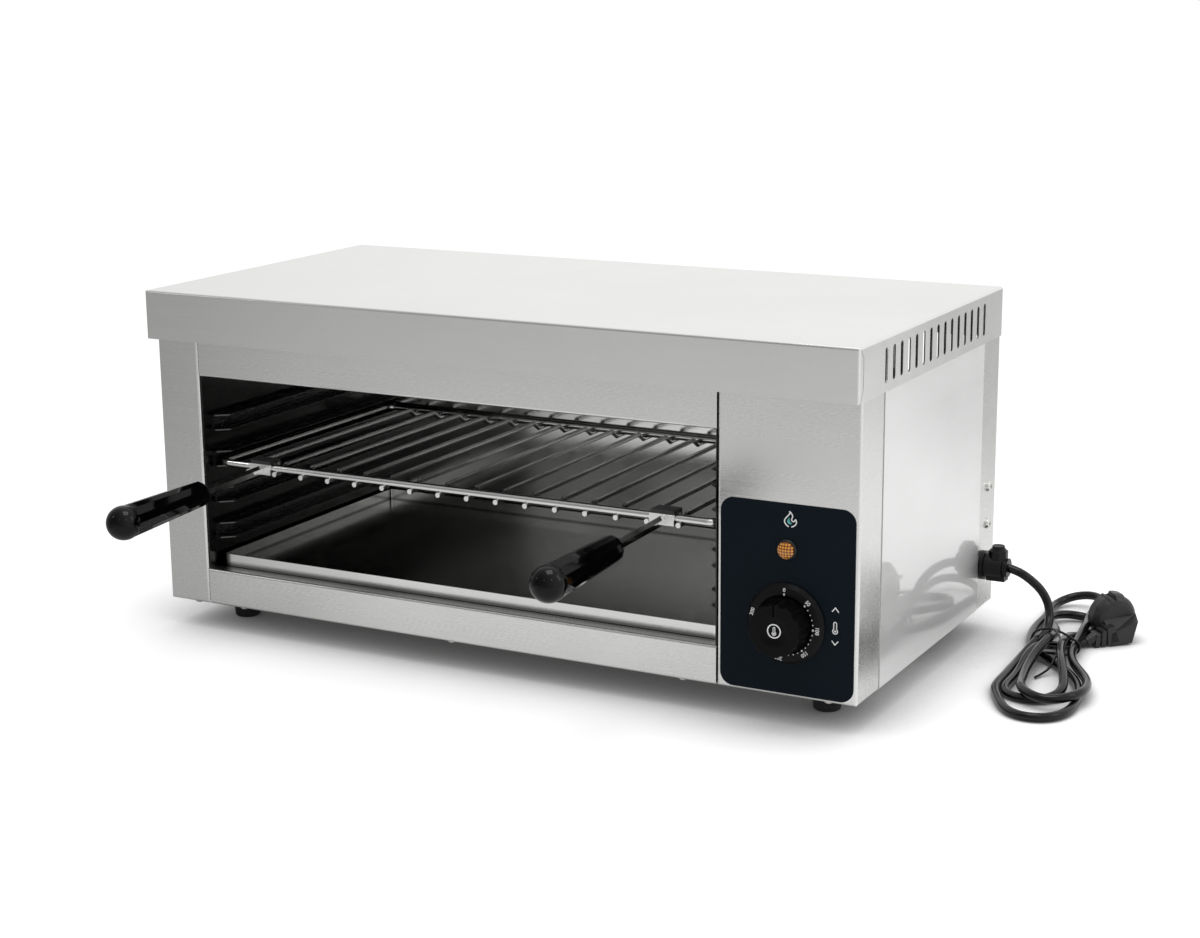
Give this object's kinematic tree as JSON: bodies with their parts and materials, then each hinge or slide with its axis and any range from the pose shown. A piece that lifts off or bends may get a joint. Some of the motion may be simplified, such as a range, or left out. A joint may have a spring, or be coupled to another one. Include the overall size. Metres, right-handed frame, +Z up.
{
  "type": "cheese melter",
  "caption": "Counter-top electric cheese melter with a sliding wire rack on two long handles, drip tray, grill elements and a thermostat.",
  "frame": {"origin": "on the counter under the feet, midway between the two side panels and midway between the handle tips and the back panel", "axes": "+X to the right as seen from the front, +Y towards the back panel, +Z up"},
  "size_m": [0.7313, 0.5819, 0.28],
  "materials": {
    "cover_steel": "brushed",
    "side_steel": "smooth",
    "front_steel": "brushed",
    "back_steel": "plain",
    "cavity_steel": "mirror-like",
    "tray_steel": "plain",
    "channel_steel": "brushed",
    "reflector_steel": "plain",
    "rack_chrome": "bright",
    "clamp_steel": "bright",
    "clamp_black": "satin black",
    "handle_steel": "bright",
    "grip_black": "glossy",
    "heater_sheath": "oxidised",
    "nut_brass": "plain",
    "copper": "plain",
    "label_dark": "satin",
    "ring_black": "satin",
    "knob_black": "satin",
    "thermostat_cream": "matt",
    "lamp_amber": "translucent look",
    "lamp_black": "glossy",
    "terminal_white": "matt",
    "screw_steel": "bright zinc",
    "gland_black": "matt",
    "cord_black": "matt",
    "plug_black": "matt",
    "pin_nickel": "bright",
    "foot_rubber": "matt"
  },
  "bodies": {
    "casing": {"top_cover": "cover_steel", "left_side_panel": "side_steel", "right_side_panel": "side_steel", "left_front_post": "front_steel", "control_panel": "front_steel", "upper_front_panel": "front_steel", "lower_front_panel": "front_steel", "back_panel": "back_steel", "base_plate": "back_steel", "left_cavity_wall": "cavity_steel", "right_cavity_wall": "cavity_steel", "cavity_back_wall": "cavity_steel", "cavity_floor": "cavity_steel", "left_rack_channels": "channel_steel", "right_rack_channels": "channel_steel", "heat_reflector": "reflector_steel", "front_heater": "heater_sheath", "rear_heater": "heater_sheath", "heater_hanger": "channel_steel", "heater_nuts": "nut_brass", "heater_tabs": "screw_steel", "sensor_bulb": "copper", "sensor_clips": "channel_steel", "sensor_tube": "copper", "control_label": "label_dark", "scale_ring": "ring_black", "thermostat_body": "thermostat_cream", "lamp_lens": "lamp_amber", "lamp_body": "lamp_black", "lamp_nut": "lamp_black", "terminal_block": "terminal_white", "terminal_bracket": "channel_steel", "side_screws": "screw_steel", "panel_screws": "screw_steel", "inner_leads": "cord_black", "gland_body": "gland_black", "gland_nut": "gland_black", "gland_screw": "gland_black", "cord_lead": "cord_black", "cord_hank": "cord_black", "cord_tail": "cord_black", "cord_tie": "cord_black", "plug_body": "plug_black", "plug_pins": "pin_nickel", "rubber_feet": "foot_rubber", "foot_screws": "screw_steel", "foot_nuts": "screw_steel"},
    "rack": {"wire_rack": "rack_chrome", "left_handle_clamp": "clamp_steel", "right_handle_clamp": "clamp_steel", "left_clamp_plate": "clamp_black", "right_clamp_plate": "clamp_black", "clamp_screws": "screw_steel", "left_handle_rod": "handle_steel", "right_handle_rod": "handle_steel", "left_grip": "grip_black", "right_grip": "grip_black"},
    "tray": {"drip_tray": "tray_steel"},
    "knob": {"thermostat_knob": "knob_black", "thermostat_shaft": "nut_brass"}
  },
  "joints": [
    {"name": "rack_slide", "type": "slide", "parent": "casing", "child": "rack", "axis": [0, -1, 0], "range_m": [0, 0.2]},
    {"name": "tray_slide", "type": "slide", "parent": "casing", "child": "tray", "axis": [0, -1, 0], "range_m": [0, 0.24]},
    {"name": "knob_turn", "type": "hinge", "parent": "casing", "child": "knob", "pos_m": [0.24925, -0.0725, 0.0766], "axis": [0, 1, 0], "range_deg": [0, 285]}
  ]
}
